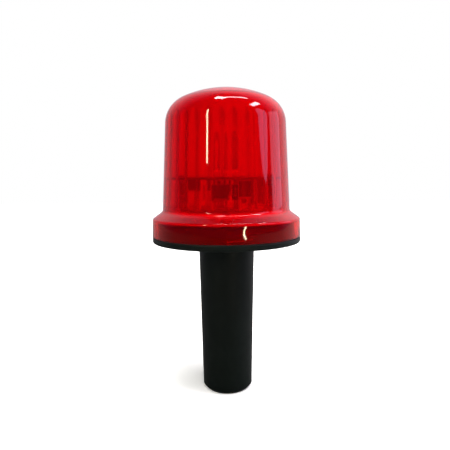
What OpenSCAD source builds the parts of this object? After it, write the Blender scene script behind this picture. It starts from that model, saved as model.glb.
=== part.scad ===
// Battery warning light: a fluted red dome on a black flange, over a battery tube that drops into
// the mouth of a traffic cone. Two D-size cells feed a flash tube on a board inside the dome.
// Millimetres, +Z up along the tube, origin at the centre of the tube's tip.

/* [Cells] */
// Diameter of one D-size cell
cell_d = 33.6; // [32.6:0.1:34.2]
// Height of one cell, nub and all
cell_h = 61.2; // [60.2:0.1:61.6]
// Diameter of a cell's positive nub
nub_d = 9.4; // [8.4:0.1:10.4]
// Height of the nub above the cell's jacket
nub_h = 1.6; // [1.2:0.1:2.2]
// Thickness of a cell's printed jacket
jacket_t = 0.4; // [0.3:0.05:0.6]

/* [Battery tube] */
// Radial room between a cell and the tube's guide ribs
cell_gap = 0.8; // [0.5:0.05:1.2]
// Wall of the tube
tube_wall = 1.9; // [1.6:0.1:2.6]
// Moulding draft of the tube, in degrees a side
tube_draft = 0.94; // [0.6:0.02:1.4]
// Length of the straight land just below the flange
land_h = 10; // [6:1:20]
// Floor at the tip of the tube
floor_t = 2.6; // [2:0.1:3.4]
// Radial depth of the lead-in chamfer at the tip
tip_cut = 2.2; // [1:0.1:3]
// Height of the lead-in chamfer
tip_h = 2.6; // [1.6:0.1:4]
// Width of the guide ribs in the bore
guide_w = 2; // [1.4:0.1:3]

/* [Flange] */
// Diameter of the flange and of the lens skirt over it
flange_d = 112.4; // [110:0.4:118]
// Thickness of the flange
flange_t = 3.8; // [3.4:0.1:5]
// Height of the deck above the underside of the flange
deck_rise = 19; // [18:0.5:21]
// Drop of the upstand's rim below the edge of the lens shoulder
upstand_drop = 2.4; // [2:0.1:6]
// Wall of the upstand
upstand_t = 2.4; // [2:0.1:3]
// Radial room for the thread between upstand and skirt
thread_gap = 1.6; // [1.2:0.1:2.2]
// Diameter of the bosses that carry the deck
boss_d = 8; // [7:0.5:9]
// Thickness of the webs from the tube past each boss
web_t = 1.6; // [1.2:0.1:2.4]
// Height of the webs above the flange
web_h = 8; // [4:0.5:10]

/* [Lens] */
// Wall of the dome
lens_t = 2.6; // [2.2:0.1:3]
// Wall of the skirt
skirt_t = 2.8; // [2.4:0.1:3.4]
// Height of the skirt, from the gasket to the shoulder's edge
skirt_h = 13.1; // [12:0.1:16]
// Height of the sloping shoulder
shoulder_h = 5.5; // [4.5:0.1:8]
// Diameter of the dome just above the shoulder
dome_d = 96.2; // [94:0.2:98]
// Height of the whole lens
lens_h = 107.2; // [100:0.2:116]
// Draft of the dome, in degrees a side
dome_draft = 3.2; // [2:0.1:4]
// Radius of the crown of the roof
crown_r = 78; // [68:1:110]
// Radius that rounds the wall into the roof
roof_r = 20; // [14:0.5:24]
// Radius in the corner between wall and shoulder
neck_r = 3.4; // [1.5:0.1:5]
// Radius on the edge between shoulder and skirt
edge_r = 1.8; // [0.6:0.1:2.6]
// Number of flutes inside the dome
flutes = 32; // [24:2:40]
// Depth of a flute
flute_h = 0.95; // [0.6:0.05:1.3]

/* [Gasket] */
// Thickness of the gasket under the skirt
gasket_t = 0.8; // [0.6:0.1:1.4]
// Width of the gasket ring
gasket_w = 2.2; // [1.6:0.1:2.6]

/* [Contacts] */
// Wire of the contact spring
spring_wire = 1; // [0.7:0.1:1.2]
// Height of the spring with the cells in
spring_h = 10; // [9:0.5:12]
// Turns of the spring
spring_turns = 4; // [3:1:5]
// Thickness of the brass strips
strip_t = 0.4; // [0.3:0.05:0.5]
// Width of the brass strips
strip_w = 4; // [3:0.5:5]
// Height of the bow in the positive contact
contact_h = 1.6; // [1.2:0.1:2.4]
// Reach of the solder tabs past the deck's collar
tab_l = 3.6; // [3.2:0.1:4.4]
// Radius of the rivets that hold the contact leaves
rivet_r = 1; // [0.8:0.1:1.2]

/* [Deck and board] */
// Thickness of the deck over the cells
deck_t = 2.4; // [2:0.1:3.2]
// Wall of the collar
collar_t = 1.8; // [1.4:0.1:2.4]
// Height of the pads under the board's pillars
pad_h = 2; // [1.4:0.1:3]
// Height of the bay between deck and board
bay_h = 24.5; // [22:0.5:26]
// Thickness of the circuit board
board_t = 1.6; // [1:0.1:2]
// Room between the board's edge and the flutes
board_gap = 2.4; // [1.5:0.1:4]
// Width across the flats of the board's pillars
pillar_af = 5.5; // [5:0.5:6]
// Length of the pillars' studs
stud_h = 3.6; // [2.6:0.1:3.8]
// Diameter of the screws
screw_d = 2.8; // [2.4:0.1:3]
// Bite of the deck's screws in their bosses
deck_bite = 10; // [8:0.5:11]
// Bite of the board's screws in their pillars
board_bite = 5; // [4:0.5:6]

/* [Transformer] */
// Width of the core
core_w = 18; // [16:0.5:20]
// Height of the core
core_h = 11; // [10:0.5:13]
// Depth of the core
core_d = 5.4; // [4.4:0.1:6]
// Width of the core's outer limbs
yoke = 2.4; // [2:0.1:3]
// Width of the core's middle limb
core_leg = 4.6; // [4:0.1:5.4]

/* [Small components] */
// Room between the board and what stands off it on its leads
stand_off = 3.6; // [2.6:0.1:4.2]
// Diameter of the storage capacitor's can
can_d = 12.4; // [10:0.2:13]
// Height of the storage capacitor
can_h = 17; // [12:0.5:19]
// Diameter of the trigger coil
coil_d = 9.2; // [8:0.2:10]
// Height of the trigger coil
coil_h = 13; // [10:0.5:15]
// Length of the trigger capacitor
film_l = 15; // [12:0.5:16]
// Thickness of the trigger capacitor
film_t = 7; // [5:0.5:7.5]
// Height of the trigger capacitor
film_h = 8; // [6:0.5:11]
// Diameter of the timing capacitor
timing_d = 8; // [6:0.2:8.4]
// Height of the timing capacitor
timing_h = 12; // [9:0.5:14]
// Width of the transistor
tab_w = 10; // [8:0.5:10.5]
// Thickness of the transistor's tab
tab_t = 1.3; // [1:0.1:1.5]
// Thickness of the transistor's body on its tab
pack_t = 3.2; // [2.6:0.1:3.4]
// Height of the transistor's body
pack_h = 9.2; // [7:0.1:9.6]
// Radius of the bare leads
lead_r = 0.35; // [0.25:0.05:0.4]

/* [Flash tube] */
// Diameter of the glass
glass_d = 5; // [4:0.1:6]
// Wall of the glass
glass_t = 0.8; // [0.6:0.1:1]
// Height of the straight legs
leg_h = 21; // [16:1:26]
// Distance between the legs
leg_gap = 14; // [12:0.5:18]
// Angle of the legs to the front, in degrees
tube_turn = 60; // [0:5:90]
// Height of the sockets under the glass
socket_h = 3; // [2:0.5:4]
// Radius of the pins through the board
pin_r = 0.5; // [0.4:0.05:0.6]
// Diameter of the trigger wire
trigger_d = 0.5; // [0.4:0.05:0.6]
// Turns of the trigger wire round one leg
trigger_turns = 5; // [3:1:6]

/* [Switch] */
// Distance of the switch's axis from the inside of the upstand
switch_in = 13.4; // [12:0.2:14.4]
// Diameter of the threaded bush
bush_d = 11.8; // [11:0.1:12.4]
// Diameter of the push button
button_d = 7.8; // [6.6:0.1:8]
// Reach of the button below the flange
button_h = 4.6; // [3.6:0.1:6]
// Travel of the button
button_travel = 2; // [1:0.1:2.2]
// Depth of the pocket for the nut
pocket_h = 1.6; // [1.2:0.1:1.8]
// Thickness of the nut
nut_t = 2.2; // [1.8:0.1:2.8]
// Thickness of the seal under the switch
switch_seal_t = 0.8; // [0.6:0.1:1]
// Width of the switch's body
switch_w = 14; // [12:0.5:16]
// Depth of the switch's body
switch_l = 13; // [11:0.5:14]
// Height of the switch's body
switch_h = 7; // [6:0.5:7.5]
// Height of the blades
blade_h = 2.2; // [2:0.1:2.6]
// Width of the blades
blade_w = 2.4; // [2:0.1:2.8]
// Wire of the button's spring
switch_wire_t = 0.6; // [0.4:0.1:0.7]
// Diameter of the insulated wires
wire_d = 1.6; // [1.2:0.1:2]

/* [Hidden] */
$fn = 72;

fit = 0.05;        // radial room between pieces that are pushed or screwed together
run = 0.08;        // radial room round the sliding button
slip = 0.3;        // room round pieces that drop in by hand
through = 1;       // how far a cutter runs past the face that it opens
root = 0.5;        // how far a rib or boss runs into the wall that carries it

// Levels up the axis: the cells and their contacts set how long the tube is
cell_z = floor_t + strip_t + spring_h;
upper_z = cell_z + cell_h;
nub_z = upper_z + cell_h;
deck_z = nub_z + contact_h;
tube_len = deck_z - deck_rise;
mouth_z = nub_z - nub_h - 1;
plate_z = tube_len + flange_t;
skirt_z = plate_z + gasket_t;
roof_z = skirt_z + lens_h;
deck_top = deck_z + deck_t;
pad_z = deck_top + pad_h;
board_z = deck_top + bay_h;
board_top = board_z + board_t;
knee_z = tip_h + floor_t;

// Radii of the tube
cell_r = cell_d / 2;
guide_r = cell_r + cell_gap - fit;
tip_r = cell_r + cell_gap + tube_wall;
tip_in = tip_r - tube_wall;
top_r = tip_r + (tube_len - land_h - tip_h) * tan(tube_draft);
bore_r = top_r - tube_wall;
spring_r = 0.62 * cell_r;

// Flange, upstand and deck
flange_r = flange_d / 2;
skirt_in = flange_r - skirt_t;
upstand_r = skirt_in - thread_gap;
upstand_in = upstand_r - upstand_t;
upstand_z = skirt_z + skirt_h - upstand_drop;
collar_r = top_r + slip;
collar_out = collar_r + collar_t;
collar_h = deck_z - plate_z - web_h - slip;
dome_r = dome_d / 2;
deck_r = dome_r - lens_t - 1.2;
screw_r = screw_d / 2;
boss_ring = deck_r - boss_d / 2 - 2;
boss_angles = [30, 150, 270];

// Outline of the lens: corner points of the outside, and the arcs of its roof
skirt_lean = 0.5;
edge_p = [flange_r - skirt_lean, skirt_z + skirt_h];
neck_p = [dome_r, edge_p.y + shoulder_h];
wall_u = [-sin(dome_draft), cos(dome_draft)];
wall_n = [-cos(dome_draft), -sin(dome_draft)];
crown_z = roof_z - crown_r;
roof_c = roof_centre();

// Board, flutes and the circle that the pillars stand on
flute_in = wall_at(board_top) - lens_t / cos(dome_draft) - flute_h;
board_r = flute_in - board_gap;
pillar_ring = board_r - 6.5;
pillar_angles = [90, 210, 330];
pillar_d = pillar_af / cos(30);

// Rivets through the deck, and the holes that two wires pass
contact_z = deck_z - strip_t - fit;
rivets = [[0, 14], [-collar_out - 1.6, 0]];
switch_r = upstand_in - switch_in;
switch_wire_hole = [9, switch_r];
negative_wire_hole = [-31, 3];

// Flash tube
leg_z = board_top + socket_h;
bend_r = leg_gap / 2;
glass_r = glass_d / 2;
glass_in = glass_r - glass_t;

// Switch, on the hidden underside
bush_r = bush_d / 2;
button_r = button_d / 2;
head_r = button_r + 0.7;
pocket_r = bush_r + 4;
pocket_z = tube_len + pocket_h;
nut_z = pocket_z - nut_t;
nut_d = (bush_d + 3.4) / cos(30);
bush_z = nut_z - 0.8;
lip_z = bush_z + 1.6;
seal_z = plate_z + switch_seal_t;
bush_top = seal_z + 1.5;
head_z = lip_z + 1.2;
body_top = bush_top + switch_h;
blade_z = body_top + blade_h;
blade_x = 4;

// Where the parts hang under the board, laid out inside the circle of the pillars
transformer_p = pillar_ring * [-0.09, -0.5];
capacitor_p = pillar_ring * [0.58, -0.26];
trigger_coil_p = pillar_ring * [0.335, -0.79];
trigger_capacitor_p = pillar_ring * [-0.715, -0.235];
timing_capacitor_p = pillar_ring * [0.44, 0.41];
transistor_p = pillar_ring * [-0.09, -0.905];
lie_z = board_z - 2;
diode_size = [2.6, 1.35];
diodes = [for (y = [-0.115, 0]) [-0.145 * pillar_ring, y * pillar_ring, 0]];
resistor_size = [3.2, 1.2];
resistors_at = concat(
    [for (y = [0.28, 0.38, 0.48]) [-0.115 * pillar_ring, y * pillar_ring, 0]],
    [for (x = [-0.525, -0.64]) [x * pillar_ring, 0.26 * pillar_ring, 90]]);

// Circle arcs, rounded corners and lines, as lists of points
function unit(v) = v / norm(v);
function cross2(a, b) = a.x * b.y - a.y * b.x;
function meet(p, u, q, v) = p + u * cross2(q - p, v) / cross2(u, v);
function arc(c, r, from, to, steps) =
    [for (i = [0:steps]) let (a = from + (to - from) * i / steps) c + r * [cos(a), sin(a)]];
function fillet(a, b, c, r, steps = 5) =
    let (u = unit(a - b), v = unit(c - b), half = acos(u * v) / 2,
         centre = b + unit(u + v) * r / sin(half),
         p = b + u * r / tan(half) - centre, q = b + v * r / tan(half) - centre,
         from = atan2(p.y, p.x), turn = (atan2(q.y, q.x) - from + 540) % 360 - 180)
    arc(centre, r, from, from + turn, steps);

// Points of a smooth curve through the given points
function smooth(points, steps = 4) =
    [for (i = [0:len(points) - 2]) for (k = [0:steps - 1])
        let (t = k / steps, p0 = points[max(i - 1, 0)], p1 = points[i], p2 = points[i + 1],
             p3 = points[min(i + 2, len(points) - 1)])
        0.5 * (2 * p1 + (p2 - p0) * t + (2 * p0 - 5 * p1 + 4 * p2 - p3) * t * t
               + (3 * p1 - p0 - 3 * p2 + p3) * t * t * t)];

// Least gap between turns of a wire of radius r, between points at least a turn less a sixth apart
function least_gap(path, r, turn_steps) =
    min([for (i = [0:len(path) - 1]) for (j = [i + floor(turn_steps * 5 / 6):1:len(path) - 1])
        norm(path[i] - path[j]) - 2 * r]);

// Radius of the dome's outside at height z
function wall_at(z) = neck_p.x - (z - neck_p.y) * tan(dome_draft);

// Centre of the arc that is tangent to the drafted wall and, from inside, to the crown
function roof_centre() =
    let (m = tan(dome_draft), reach = crown_r - roof_r,
         a = neck_p.x - roof_r / cos(dome_draft) + (neck_p.y - crown_z) * m,
         h = (a * m + sqrt(reach * reach * (1 + m * m) - a * a)) / (1 + m * m))
    [a - m * h, crown_z + h];

// Roof of the lens, inset by t, from the wall to the axis
function roof(t) =
    let (rise = atan2(roof_c.y - crown_z, roof_c.x))
    concat(arc(roof_c, roof_r - t, dome_draft, rise, 10),
           [for (i = [1:6]) let (a = rise + (90 - rise) * i / 6)
                [i == 6 ? 0 : (crown_r - t) * cos(a), crown_z + (crown_r - t) * sin(a)]]);

// Outside of the lens, from the skirt's foot to the roof
function lens_outside() =
    concat([[0, skirt_z], [flange_r, skirt_z]],
           fillet([flange_r, skirt_z], edge_p, neck_p, edge_r),
           fillet(edge_p, neck_p, neck_p + 30 * wall_u, neck_r),
           roof(0));

// Inside of the lens: straight in the skirt, then parallel to the outside
function lens_inside() =
    let (slope = unit(neck_p - edge_p), inward = [-slope.y, slope.x],
         shoulder = edge_p + lens_t * inward, wall = neck_p + lens_t * wall_n,
         edge_q = meet([skirt_in, skirt_z], [0, 1], shoulder, slope),
         neck_q = meet(shoulder, slope, wall, wall_u))
    concat([[0, skirt_z - through], [skirt_in, skirt_z - through]],
           fillet([skirt_in, skirt_z], edge_q, neck_q, 0.6, 2),
           fillet(edge_q, neck_q, neck_q + 30 * wall_u, neck_r + lens_t / 2),
           roof(lens_t));

// Outside of the housing: tube, flange and the tube's mouth above it
function housing_outside() =
    concat([[0, 0], [tip_r - tip_cut, 0], [tip_r, tip_h], [top_r, tube_len - land_h], [top_r, tube_len]],
           fillet([top_r, tube_len], [flange_r, tube_len], [flange_r, plate_z], 0.9),
           fillet([flange_r, tube_len], [flange_r, plate_z], [top_r, plate_z], 0.4, 2),
           [[top_r, plate_z], [top_r, mouth_z], [0, mouth_z]]);

// Bore of the tube, with the tip's chamfer repeated inside
function tube_bore() =
    [[0, floor_t], [tip_in - tip_cut, floor_t], [tip_in, knee_z],
     [bore_r, tube_len - land_h], [bore_r, mouth_z + through], [0, mouth_z + through]];

// A ring of copies at the given angles
module at_angles(angles, radius) {
    for (a = angles)
        rotate(a)
            translate([radius, 0, 0])
                children();
}

// A flat ring
module ring(r_in, r_out, z, h) {
    translate([0, 0, z])
        difference() {
            cylinder(r = r_out, h = h);
            translate([0, 0, -through])
                cylinder(r = r_in, h = h + 2 * through);
        }
}

// A wire swept along a path of points
module sweep(path, r, sides = 8, ref = [0, 0, 1]) {
    last = len(path) - 1;
    points = [for (i = [0:last])
        let (t = unit(path[min(i + 1, last)] - path[max(i - 1, 0)]),
             u = unit(cross(ref, t)), v = cross(t, u))
        for (k = [0:sides - 1])
            path[i] + r * (cos(360 * k / sides) * u + sin(360 * k / sides) * v)];
    skin = [for (i = [0:last - 1]) for (k = [0:sides - 1])
        let (a = i * sides, b = a + sides, n = (k + 1) % sides)
        for (f = [[a + k, b + k, b + n], [a + k, b + n, a + n]]) f];
    foot = [for (k = [0:sides - 1]) k];
    head = [for (k = [sides - 1:-1:0]) last * sides + k];
    polyhedron(points, concat([foot], skin, [head]), convexity = 6);
}

// A strip of sheet metal: a side view of its lower face, given thickness upwards and a width
module strip(side, t, w) {
    translate([0, w / 2, 0])
        rotate([90, 0, 0])
            linear_extrude(w)
                polygon(concat(side, [for (i = [len(side) - 1:-1:0]) side[i] + [0, t]]));
}

// A rectangle with round corners, centred
module rounded(w, d, r) {
    polygon([for (c = [[1, 1, 0], [-1, 1, 90], [-1, -1, 180], [1, -1, 270]])
        each arc([c.x * (w / 2 - r), c.y * (d / 2 - r)], r, c.z, c.z + 90, 3)]);
}

// A pan-head screw with a cross recess, its seat at z = 0 and its shank below
module pan_screw(shank) {
    head_h = 0.75 * screw_d;
    slot_w = 0.26 * screw_d;
    slot_l = 1.3 * screw_d;
    rim = fillet([screw_d, 0], [screw_d, head_h], [0, head_h], screw_r, 3);
    difference() {
        union() {
            rotate_extrude()
                polygon(concat([[0, 0], [screw_d, 0]], rim, [[0, head_h]]));
            translate([0, 0, -shank])
                cylinder(r = screw_r - fit, h = shank);
        }
        for (a = [0, 90])
            rotate(a)
                translate([-slot_l / 2, -slot_w / 2, head_h / 2])
                    cube([slot_l, slot_w, head_h]);
    }
}

// One moulding: battery tube, flange, upstand, bosses and webs
module base_housing() {
    color([0.07, 0.08, 0.08])
        difference() {
            union() {
                rotate_extrude()
                    polygon(housing_outside());
                ring(upstand_in, upstand_r, plate_z - root, upstand_z - plate_z + root);
                at_angles(boss_angles, boss_ring)
                    translate([0, 0, plate_z - root])
                        cylinder(d = boss_d, h = deck_z - plate_z + root);
                for (a = boss_angles)
                    rotate(a)
                        translate([top_r - root, -web_t / 2, plate_z - root])
                            cube([upstand_in - top_r + 2 * root, web_t, web_h + root]);
            }
            difference() {
                rotate_extrude()
                    polygon(tube_bore());
                at_angles([45:90:315], guide_r)
                    translate([0, -guide_w / 2, cell_z])
                        cube([tube_wall + bore_r, guide_w, 2 * cell_h]);
            }
            at_angles(boss_angles, boss_ring)
                translate([0, 0, plate_z + 1])
                    cylinder(r = screw_r, h = deck_z);
            translate([0, switch_r, tube_len - through])
                cylinder(r = bush_r + slip, h = flange_t + 2 * through);
            translate([0, switch_r, tube_len - through])
                cylinder(r = pocket_r, h = pocket_h + through);
        }
}

// Smooth outside, fluted inside: each flute is a shallow round rib with the wall's own draft
module lens() {
    foot_z = neck_p.y + neck_r;
    half_w = PI * (wall_at(foot_z) - lens_t) / flutes;
    flute_r = (half_w * half_w + flute_h * flute_h) / (2 * flute_h);
    flute_c = wall_at(foot_z) - lens_t / cos(dome_draft) - flute_h + flute_r;
    color([0.85, 0.02, 0.03, 0.6])
        difference() {
            rotate_extrude()
                polygon(lens_outside());
            difference() {
                rotate_extrude()
                    polygon(lens_inside());
                for (i = [0:flutes - 1])
                    rotate((i + 0.5) * 360 / flutes)
                        translate([flute_c, 0, foot_z])
                            rotate([0, -dome_draft, 0])
                                cylinder(r = flute_r, h = roof_z - foot_z);
            }
        }
}

module lens_gasket() {
    color([0.12, 0.12, 0.12])
        ring(skirt_in + slip, skirt_in + slip + gasket_w, plate_z, gasket_t);
}

function contact_spring_path() =
    let (steps = 24 * spring_turns, low = floor_t + strip_t + spring_wire / 2, rise = spring_h - spring_wire)
    [for (i = [0:steps])
        let (s = i / steps, lift = min(1, max(0, (s - 0.1) / 0.8)), r = spring_r * (1 - s / 2), a = 15 * i)
        [r * cos(a), r * sin(a), low + rise * lift]];

module contact_spring() {
    path = contact_spring_path();
    echo(contact_spring_gap = least_gap(path, spring_wire / 2, 24));
    color([0.78, 0.78, 0.76])
        sweep(path, spring_wire / 2, 6);
}

// Runs from under the spring, up the bore beside the cells, and over the rim of the tube's mouth
module negative_strip() {
    back = strip_w * strip_w / (8 * tip_in) + 0.1;
    foot = tip_in - tip_cut - back - 0.5;
    low = tip_in - back;
    high = bore_r - back;
    hook = top_r - 0.4;
    bend_z = tube_len - land_h;
    color([0.80, 0.66, 0.30])
        rotate(180)
            union() {
                translate([0, 0, floor_t])
                    cylinder(r = spring_r + spring_wire, h = strip_t);
                translate([0, strip_w / 2, 0])
                    rotate([90, 0, 0])
                        linear_extrude(strip_w)
                            polygon([[foot, floor_t], [low, knee_z], [high, bend_z], [high, mouth_z],
                                     [hook, mouth_z], [hook, mouth_z + strip_t],
                                     [high - strip_t, mouth_z + strip_t], [high - strip_t, bend_z],
                                     [low - strip_t, knee_z + strip_t / 2],
                                     [foot - strip_t, floor_t + strip_t],
                                     [spring_r, floor_t + strip_t], [spring_r, floor_t]]);
            }
}

// Levels inside a cell, from its own foot
shell_t = 0.5;
dish = 0.4;
rod_r = 4;
shell_top = cell_h - nub_h - 0.7;
mix_z = dish + shell_t + 0.2;

// A zinc can with a dished bottom, open above
module cell_can(z) {
    r = cell_r - jacket_t - fit;
    inner = r - shell_t;
    color([0.72, 0.72, 0.70])
        translate([0, 0, z])
            rotate_extrude()
                polygon([[0, dish], [r - 4, dish], [r - 3.6, 0], [r - 0.8, 0], [r, 0.8], [r, shell_top],
                         [inner, shell_top], [inner, mix_z], [0, mix_z]]);
}

// The black mix in the can, with a bore for the carbon rod
module cell_mix(z) {
    r = cell_r - jacket_t - shell_t - 2 * fit;
    top = shell_top - 2.4;
    color([0.10, 0.10, 0.11])
        translate([0, 0, z])
            rotate_extrude()
                polygon([[0, mix_z], [r, mix_z], [r, top], [rod_r + fit, top], [rod_r + fit, mix_z + 3],
                         [0, mix_z + 3]]);
}

module cell_rod(z) {
    color([0.14, 0.14, 0.15])
        translate([0, 0, z + mix_z + 3])
            cylinder(r = rod_r, h = shell_top - mix_z - 3);
}

module cell_jacket(z) {
    top = cell_h - nub_h;
    lip = cell_r - 1.6;
    color([0.16, 0.24, 0.42])
        translate([0, 0, z])
            rotate_extrude()
                polygon([[cell_r - jacket_t, 0.8], [cell_r, 0.8], [cell_r, top - 0.3], [cell_r - 0.3, top],
                         [lip, top], [lip, top - 0.4], [cell_r - jacket_t, top - 0.4]]);
}

module cell_seal(z) {
    color([0.10, 0.10, 0.11])
        translate([0, 0, z])
            ring(nub_d / 2 + 2, cell_r - 1.6 - fit, shell_top, 0.6);
}

module cell_cap(z) {
    top = cell_h - nub_h;
    r = nub_d / 2;
    brim = r + 2 - fit;
    color([0.84, 0.84, 0.82])
        translate([0, 0, z])
            rotate_extrude()
                polygon(concat([[0, shell_top], [brim, shell_top], [brim, top - 0.2], [r, top - 0.2]],
                               fillet([r, top], [r, cell_h], [0, cell_h], 0.7, 3), [[0, cell_h]]));
}

// The deck closes the tube's mouth, carries the contacts below and the board's pillars above
module deck() {
    hole_z = deck_z - through;
    hole_h = deck_t + 2 * through;
    color([0.86, 0.85, 0.81])
        difference() {
            union() {
                rotate_extrude()
                    polygon(concat([[0, deck_z], [deck_r - 0.5, deck_z], [deck_r, deck_z + 0.5]],
                                   fillet([deck_r, deck_z], [deck_r, deck_top], [0, deck_top], 0.8, 3),
                                   [[0, deck_top]]));
                ring(collar_r, collar_out, deck_z - collar_h, collar_h + root);
                at_angles(pillar_angles, pillar_ring)
                    translate([0, 0, deck_top - root])
                        cylinder(d = pillar_af + 3, h = pad_h + root);
            }
            for (a = [90, 180])
                rotate(a)
                    translate([collar_r - through, -strip_w / 2 - 0.5, deck_z - collar_h - through])
                        cube([collar_t + 2 * through, strip_w + 1, collar_h + through]);
            at_angles(pillar_angles, pillar_ring)
                translate([0, 0, pad_z - stud_h - 0.4])
                    cylinder(r = screw_r + fit, h = stud_h + through);
            at_angles(boss_angles, boss_ring)
                translate([0, 0, hole_z])
                    cylinder(r = screw_r + slip, h = hole_h);
            for (p = rivets)
                translate([p.x, p.y, hole_z])
                    cylinder(r = rivet_r + fit, h = hole_h);
            for (p = [switch_wire_hole, negative_wire_hole])
                translate([p.x, p.y, hole_z])
                    cylinder(r = wire_d / 2 + 0.6, h = hole_h);
        }
}

module deck_screws() {
    color([0.75, 0.75, 0.76])
        at_angles(boss_angles, boss_ring)
            translate([0, 0, deck_top])
                pan_screw(deck_t + deck_bite);
}

// A sprung leaf: bowed down onto the nub, flat under the deck, out through the collar to a tab
module positive_contact() {
    color([0.80, 0.66, 0.30])
        rotate(90)
            difference() {
                strip([[-10, contact_z], [-7.5, contact_z], [-2.5, nub_z], [2.5, nub_z], [7.5, contact_z],
                       [collar_out + tab_l, contact_z]], strip_t, strip_w);
                translate([rivets[0].y, 0, contact_z - through])
                    cylinder(r = rivet_r + fit, h = strip_t + 2 * through);
            }
}

// The matching leaf that lands on the strip at the tube's rim
module negative_contact() {
    land = mouth_z + strip_t;
    color([0.80, 0.66, 0.30])
        rotate(180)
            difference() {
                strip([[top_r - 3, land + 0.8], [top_r - 2.2, land], [top_r - 1, land],
                       [top_r + 0.9, contact_z], [collar_out + tab_l + 1.4, contact_z]],
                      strip_t, strip_w - 0.4);
                translate([-rivets[1].x, 0, contact_z - through])
                    cylinder(r = rivet_r + fit, h = strip_t + 2 * through);
            }
}

module contact_rivets() {
    head_h = 0.6;
    color([0.85, 0.72, 0.38])
        for (p = rivets)
            translate([p.x, p.y, 0]) {
                translate([0, 0, contact_z - head_h])
                    cylinder(r = rivet_r + 0.7, h = head_h);
                translate([0, 0, contact_z - head_h / 2])
                    cylinder(r = rivet_r, h = deck_top - contact_z + head_h);
                translate([0, 0, deck_top])
                    cylinder(r1 = rivet_r + 0.9, r2 = rivet_r + 0.4, h = head_h);
            }
}

// Hexagonal spacers, studded below and tapped above
module board_pillars() {
    tap_h = board_bite + 2;
    color([0.80, 0.68, 0.34])
        at_angles(pillar_angles, pillar_ring)
            difference() {
                union() {
                    translate([0, 0, pad_z])
                        cylinder(d = pillar_d, h = board_z - pad_z, $fn = 6);
                    translate([0, 0, pad_z - stud_h])
                        cylinder(r = screw_r, h = stud_h + root);
                }
                translate([0, 0, board_z - tap_h])
                    cylinder(r = screw_r, h = tap_h + through);
            }
}

module circuit_board() {
    color([0.05, 0.32, 0.16])
        difference() {
            translate([0, 0, board_z])
                cylinder(r = board_r, h = board_t);
            at_angles(pillar_angles, pillar_ring)
                translate([0, 0, board_z - through])
                    cylinder(r = screw_r + 0.15, h = board_t + 2 * through);
            at_angles([-tube_turn, 180 - tube_turn], bend_r)
                translate([0, 0, board_z - through])
                    cylinder(r = pin_r + 0.2, h = board_t + 2 * through);
        }
}

module board_screws() {
    color([0.75, 0.75, 0.76])
        at_angles(pillar_angles, pillar_ring)
            translate([0, 0, board_top])
                pan_screw(board_t + board_bite);
}

// The inverter transformer: two E halves round a wound bobbin that stands off the board on pins
window_w = (core_w - core_leg) / 2 - yoke;
window_h = core_h - 2 * yoke;
core_z = board_z - stand_off - core_h;
flange_w = core_leg + 2 * window_w - 0.4;
bobbin_t = 0.8;
sleeve_w = core_leg + 1.4;
sleeve_d = core_d + 1.4;

module transformer_core() {
    color([0.20, 0.20, 0.22])
        translate([transformer_p.x, transformer_p.y, core_z])
            difference() {
                translate([-core_w / 2, -core_d / 2, 0])
                    cube([core_w, core_d, core_h]);
                for (x = [-core_leg / 2 - window_w, core_leg / 2])
                    translate([x, -core_d, yoke])
                        cube([window_w, 2 * core_d, window_h]);
            }
}

module transformer_bobbin() {
    flange_d = core_d + 2 * window_w;
    pin_y = flange_d / 2 - 0.9;
    color([0.84, 0.82, 0.72])
        translate([transformer_p.x, transformer_p.y, core_z + yoke]) {
            difference() {
                union() {
                    for (z = [fit, window_h - bobbin_t - fit])
                        translate([-flange_w / 2, -flange_d / 2, z])
                            cube([flange_w, flange_d, bobbin_t]);
                    translate([-sleeve_w / 2, -sleeve_d / 2, fit])
                        cube([sleeve_w, sleeve_d, window_h - 2 * fit]);
                }
                translate([-core_leg / 2 - fit, -core_d / 2 - fit, -through])
                    cube([core_leg + 2 * fit, core_d + 2 * fit, window_h + 2 * through]);
            }
            for (x = [-0.36, 0.36], y = [-1, 1])
                translate([x * flange_w, y * pin_y, window_h - fit - 0.4])
                    cylinder(r = 0.5, h = board_z - core_z - yoke - window_h + fit + 0.4);
        }
}

module transformer_winding() {
    color([0.62, 0.32, 0.10])
        translate([transformer_p.x, transformer_p.y, core_z + yoke + bobbin_t + 2 * fit])
            difference() {
                linear_extrude(window_h - 2 * bobbin_t - 4 * fit)
                    rounded(flange_w - 0.5, core_d + 2 * window_w - 0.8, 1.6);
                translate([-sleeve_w / 2 - fit, -sleeve_d / 2 - fit, -through])
                    cube([sleeve_w + 2 * fit, sleeve_d + 2 * fit, window_h + 2 * through]);
            }
}

// The storage capacitor: an aluminium can in a shrunk sleeve, with a scored vent below
module capacitor_can() {
    r = can_d / 2;
    color([0.76, 0.77, 0.78])
        translate([capacitor_p.x, capacitor_p.y, board_z - can_h])
            difference() {
                cylinder(r = r, h = can_h);
                for (a = [0, 60, 120])
                    rotate(a)
                        translate([-r * 0.7, -0.25, -through])
                            cube([r * 1.4, 0.5, through + 0.3]);
            }
}

module capacitor_sleeve() {
    r = can_d / 2;
    lap = r - 0.9;
    color([0.55, 0.60, 0.66])
        translate([capacitor_p.x, capacitor_p.y, board_z - can_h])
            rotate_extrude()
                polygon([[r + fit, -fit], [lap, -fit], [lap, -0.35], [r + 0.2, -0.35],
                         [r + 0.4, -0.1], [r + 0.4, can_h], [r + fit, can_h]]);
}

// The trigger coil, a narrow bobbin full of fine wire
module trigger_coil_bobbin() {
    r = coil_d / 2;
    color([0.85, 0.84, 0.78])
        translate([trigger_coil_p.x, trigger_coil_p.y, board_z - coil_h])
            rotate_extrude()
                polygon([[0.9, 0], [r, 0], [r, 1], [1.8, 1], [1.8, coil_h - 1], [r, coil_h - 1],
                         [r, coil_h], [0.9, coil_h]]);
}

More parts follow.
